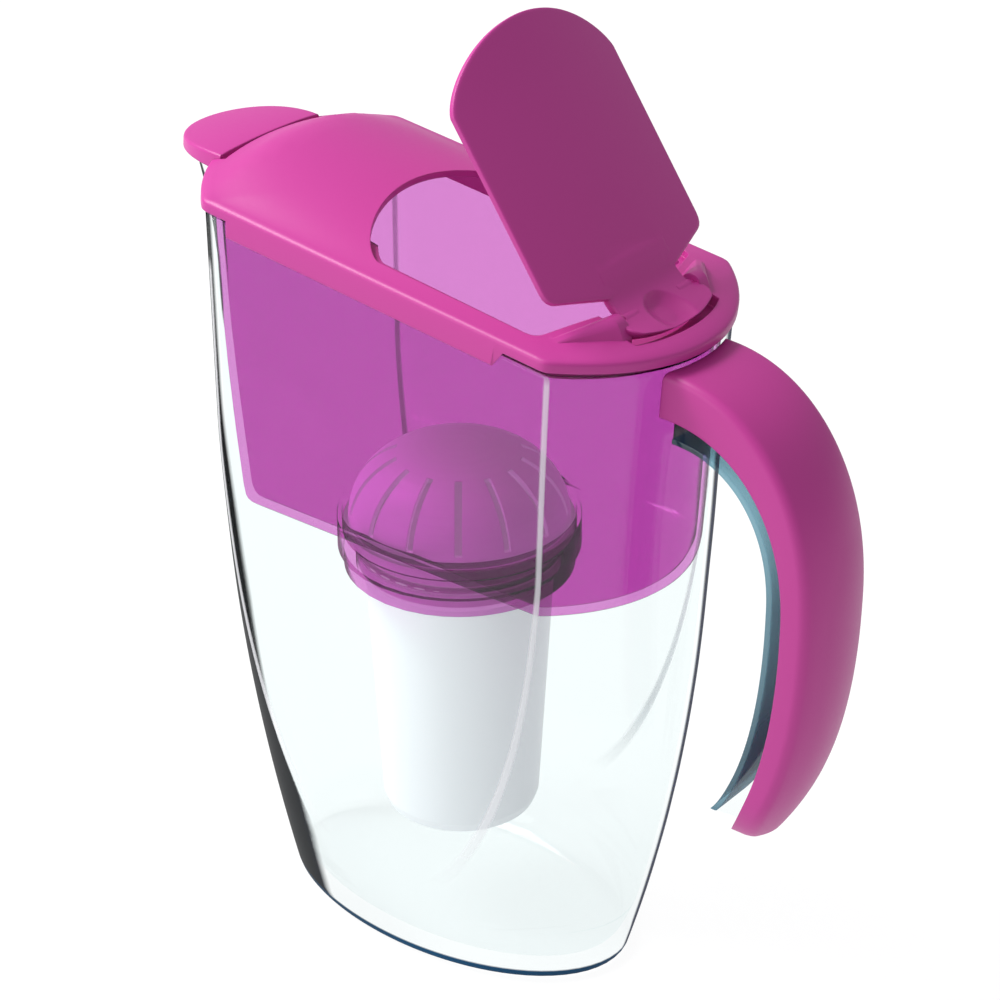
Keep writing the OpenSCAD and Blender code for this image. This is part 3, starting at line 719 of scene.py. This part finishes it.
rings = [behindSeam(lidRing(s, hollow, lidSize["wall"])) for s in reversed(lidShares)]
rings += [behindSeam(ring) for ring in (flatRing(hollow, -2.7), skirtRing(hollow),
                                       skirtRing(hollow - 1.5), flatRing(hollow - 1.5, -2.7))]
rings += [flatRing(lidInset + 1.2, -2.7), bandRing(lidInset + 1.2, 0),
          bandRing(lidInset + 0.3, 0), bandRing(lidInset, 0.3)]
rings += [flatRing(lidInset + inset, h)
          for inset, h in ((0, -0.2), (0.12, 0.35), (0.45, 0.8), (0.9, 1.1))]
rings += [lidRing(s, lidInset, 0) for s in lidShares[1:]]
lid = loft("lid", rings)
block = pocketPlan(pocketR - 4.4, pocketHalf + 1.4)
combine(lid, prism("pocket_block", block, -8.5, -0.5), "UNION")
rim = pocketPlan(pocketR + 1.2, pocketHalf + 1.6)
combine(lid, prism("pocket_rim", rim, -2.5, 0), "UNION")
combine(lid, prism("opening", mirrored(flipHalf(-2.4)), -20, 40))
ledge = [flipRing(0.5, s, lidSize["wall"] + 0.5) for s in reversed(flipShares)]
ledge += [[(x, y, 30) for x, y, z in flipRing(0.5, 1, 0)]]
combine(lid, loft("ledge", ledge))
combine(lid, box("neck", (66.5, -18.6, -7), (82.5, 18.6, 23)))
combine(lid, prism("pocket", pocketPlan(pocketR - 5.8, pocketHalf), -lidSize["pocketDepth"], 0))
combine(lid, prism("pocket_top", pocketPlan(pocketR, pocketHalf, 81.1), -1.2, 18.8))
combine(lid, box("notch", (-130, -spoutHalf, -20), (seamX, spoutHalf, 20)))
circle = [(hingeX + lidSize["earR"] * math.cos(t), hingeH + lidSize["earR"] * math.sin(t))
          for t in np.linspace(0, 2 * math.pi, 40, endpoint=False)]
for side in (-1, 1):
    ear = [(x, side * y, z) for x, z in circle for y in (earIn, earIn + earW)]
    for across, along in (((neckX + 1.5, neckX + 13.5), (earIn, earIn + earW)),
                          ((flipRear + 4, flipRear + 7), (flipHalfW - 4, flipHalfW - 2))):
        ear += [(x, side * y, z) for x in across for y in along for z in (0, 2.4)]
    combine(lid, hull("ear", ear), "UNION")
combine(lid, rodY("swing", flapX, flapH, 4.6, spoutHalf))
tidy(lid, 28)
onRim(lid)
place(lid, magenta, "lid", "magenta_plastic", "lid_cover")
print("lid built")

# Flip lid
rings = [flipRing(0, s, flipT) for s in reversed(flipShares[1:])]
rings += [flipRing(o, 1, drop) for o, drop in (
    (-0.5, flipT), (0, flipT - 0.5), (0, 0.6), (-0.15, 0.2), (-0.6, 0))]
rings += [flipRing(0, s, 0) for s in flipShares[1:]]
flip = loft("flip", rings)
tabSlope = math.tan(tabBend)
tabEnd = hingeX + flipSize["tabLen"] * math.cos(tabBend)


# Height of the panel, neck and tab, with the thumb dimple
def plateTop(x, y):
    tabTop = hingeH + 3.4 + tabSlope * (x - hingeX)
    s = smooth((x - 64) / 20)
    fromDimple = (x - flipSize["dimpleX"]) ** 2 + (y - flipSize["dimpleY"]) ** 2
    dip = 1 - fromDimple / flipSize["dimpleR"] ** 2
    sink = 0.6 * (1 - smooth((x - 57) / 4))
    dimple = flipSize["dimpleDepth"] * min(1, 1.2 * dip) if dip > 0 else 0
    return (1 - s) * (lidH(x, y) + 0.06 - sink) + s * tabTop - dimple


rings = []
for u in np.linspace(0, 1, 64):
    reachX = 57 + (tabEnd - 57) * u
    half = neckHalf - 0.4 + (flipSize["tabHalf"] - neckHalf + 0.4) * smooth((reachX - 79.2) / 2.2)
    half -= 2.4 * max(0, (reachX - tabEnd + 2) / 2) ** 2
    top = []
    for v in np.linspace(-1, 1, 61):
        y = half * v
        bend = smooth((u - 0.35) / 0.6) * (45 - math.sqrt(45 ** 2 - y ** 2)) * math.cos(tabBend)
        top.append((reachX - bend, y))
    ring = [(x, y, plateTop(x, y) - (0.5 if abs(abs(y) - half) < 0.01 else 0)) for x, y in top]
    lip = 2.6 + 3 * smooth((u - 0.88) / 0.1)
    ring += [(x, y, min(plateTop(x, y) - 0.9, plateTop(x, 15) - lip)) for x, y in reversed(top)]
    rings.append(ring)
plate = loft("plate", rings, strip=True)
combine(flip, plate, "UNION")
for side in (-1, 1):
    for name, radius, half, mid in (("hub", flipSize["hubR"], 3.2, neckHalf - 3.8),
                                    ("pin", flipSize["pinR"], 4, earIn + earW - 5.2)):
        combine(flip, rodY(name, hingeX, hingeH, radius, half, side * mid), "UNION")
tidy(flip, 28)
flip.data.transform(Matrix.Translation((hingeX * mm, 0, hingeH * mm))
                    @ Matrix.Rotation(flipSize["open"], 4, "Y")
                    @ Matrix.Translation((-hingeX * mm, 0, -hingeH * mm)))
onRim(flip)
place(flip, magenta, "flip", "magenta_plastic", "flip_lid")
print("flip lid built")

# Spout flap
flapRear = seamX - 0.6
flapHalf = spoutHalf - 0.2


def flapPlan(o):
    arc = [(flapRear - (flapSize["length"] + o) * max(0, math.cos(a)) ** 0.8,
            -(flapHalf + o) * math.sin(a)) for a in np.linspace(-math.pi / 2, math.pi / 2, 61)]
    return arc + [(flapRear, flapHalf * t) for t in np.linspace(-0.9, 0.9, 13)]


def flapShare(x):
    return max(0, min(1.1, (flapRear - x) / flapSize["length"]))


def flapRing(s, drop):
    points = []
    for px, py in flapPlan(0):
        x, y = flapRear - 12 + s * (px - flapRear + 12), s * py
        z = flapSize["top"] - flapSize["fall"] * flapShare(x) ** 1.6 - 1.2 * (y / flapHalf) ** 2
        points.append((x, y, z - drop))
    return points


def flapLow(x):
    return jugSize["spoutRise"] - jugDrop + 0.7 - 2.4 * flapShare(x) ** 2


rings = [flapRing(0.1, 2), flapRing(0.5, 2), flapRing(0.85, 2)]
rings += [[(x, y, flapLow(x)) for x, y, z in flapRing(0.9, 0)],
          [(x, y, flapLow(x)) for x, y in flapPlan(-0.2)],
          [(x, y, flapLow(x) + 0.3) for x, y in flapPlan(0)]]
rings += [flapRing(1, 0.9), flapRing(0.995, 0.45), flapRing(0.98, 0.1), flapRing(0.96, 0)]
rings += [flapRing(s, 0) for s in (0.92, 0.86, 0.78, 0.68, 0.56, 0.44, 0.32, 0.2, 0.1)]
flap = loft("flap", rings)
combine(flap, box("flap_cut", (flapRear - 3.4, -50, -20), (flapRear + 20, 50, flapH - 0.9)))
combine(flap, rodY("flap_hub", flapX, flapH, flapSize["hubR"], flapHalf), "UNION")
combine(flap, rodY("flap_pins", flapX, flapH, flapSize["pinR"], spoutHalf + 1.3), "UNION")
tidy(flap, 28)
onRim(flap)
place(flap, magenta, "flap", "magenta_plastic", "spout_flap")
print("spout flap built")

# Cartridge, kept from the part, in the white plastic whose glow is painted light
for name in ("cartridge_cup", "cartridge_cap"):
    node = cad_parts[name]
    node.data.materials.clear()
    node.data.materials.append(whitePlastic)

# Floor, world and lamps. Seen is for camera, glossy and transmission rays, lit for the others
def whenSeen(m, seen, lit):
    path = m.tree.nodes.new("ShaderNodeLightPath")
    rays = [Socket(m, path.outputs[k])
            for k in ("Is Camera Ray", "Is Glossy Ray", "Is Transmission Ray")]
    return m.blend(rays[0].math("MAXIMUM", rays[1]).math("MAXIMUM", rays[2]), lit, seen)


stageLooks = {
    "bounce": 0.8,  # floor colour for every ray but those that look at it
    "shadowed": 0.12,  # share of the seen floor that takes the shadow
    "glow": 0.94,  # the rest of the seen floor
    "sky": 0.46,
}
lamps = {  # spot and target in metres, size in metres, power in watts
    "key": ((-0.88, -0.45, 1.44), (0, 0, 0.18), 0.7, 27),
    "side": ((-0.55, -1.4, 0.6), (0, 0, 0.15), 0.7, 4.5),
}
floorMat = Mat("floor")
plain = floorMat.node("BsdfDiffuse", Color=(stageLooks["bounce"],) * 3)
shadowed = floorMat.node("BsdfDiffuse", Color=(stageLooks["shadowed"],) * 3)
glow = floorMat.node("Emission", Color=(1, 1, 1), Strength=stageLooks["glow"])
both = floorMat.tree.nodes.new("ShaderNodeAddShader")
floorMat.put(both.inputs[0], shadowed)
floorMat.put(both.inputs[1], glow)
floorMat.done(whenSeen(floorMat, both.outputs[0], plain))
floorMesh = bpy.data.meshes.new("floor")
reach, groundH = 6, -0.0005  # metres; just below the foot
corners = [(x * reach, y * reach, groundH) for x, y in ((-1, -1), (1, -1), (1, 1), (-1, 1))]
floorMesh.from_pydata(corners, [], [(0, 1, 2, 3)])
floor = bpy.data.objects.new("floor", floorMesh)
scene.collection.objects.link(floor)
floorMesh.materials.append(floorMat.data)
floor.is_shadow_catcher = False

world = bpy.data.worlds.new("world")
scene.world = world
world.use_nodes = True
tree = world.node_tree
tree.nodes.clear()
seen = tree.nodes.new("ShaderNodeBackground")
seen.inputs[0].default_value = (1, 1, 1, 1)
seen.inputs[1].default_value = 1
lit = tree.nodes.new("ShaderNodeBackground")
lit.inputs[0].default_value = (0.95, 0.97, 1, 1)
lit.inputs[1].default_value = stageLooks["sky"]
path = tree.nodes.new("ShaderNodeLightPath")
most = tree.nodes.new("ShaderNodeMath")
most.operation = "MAXIMUM"
tree.links.new(path.outputs["Is Camera Ray"], most.inputs[0])
tree.links.new(path.outputs["Is Transmission Ray"], most.inputs[1])
mixed = tree.nodes.new("ShaderNodeMixShader")
tree.links.new(most.outputs[0], mixed.inputs[0])
tree.links.new(lit.outputs[0], mixed.inputs[1])
tree.links.new(seen.outputs[0], mixed.inputs[2])
worldEnd = tree.nodes.new("ShaderNodeOutputWorld")
tree.links.new(mixed.outputs[0], worldEnd.inputs[0])


def lamp(name, spot, target, size, power):
    data = bpy.data.lights.new(name, "AREA")
    data.shape = "RECTANGLE"
    data.size, data.size_y = size, size
    data.energy = power
    light = bpy.data.objects.new(name, data)
    light.location = spot
    light.rotation_euler = (Vector(target) - Vector(spot)).to_track_quat("-Z", "Y").to_euler()
    scene.collection.objects.link(light)


for name, (spot, target, size, power) in lamps.items():
    lamp(name, spot, target, size, power)
scene.view_settings.view_transform = "Standard"
print("stage set")
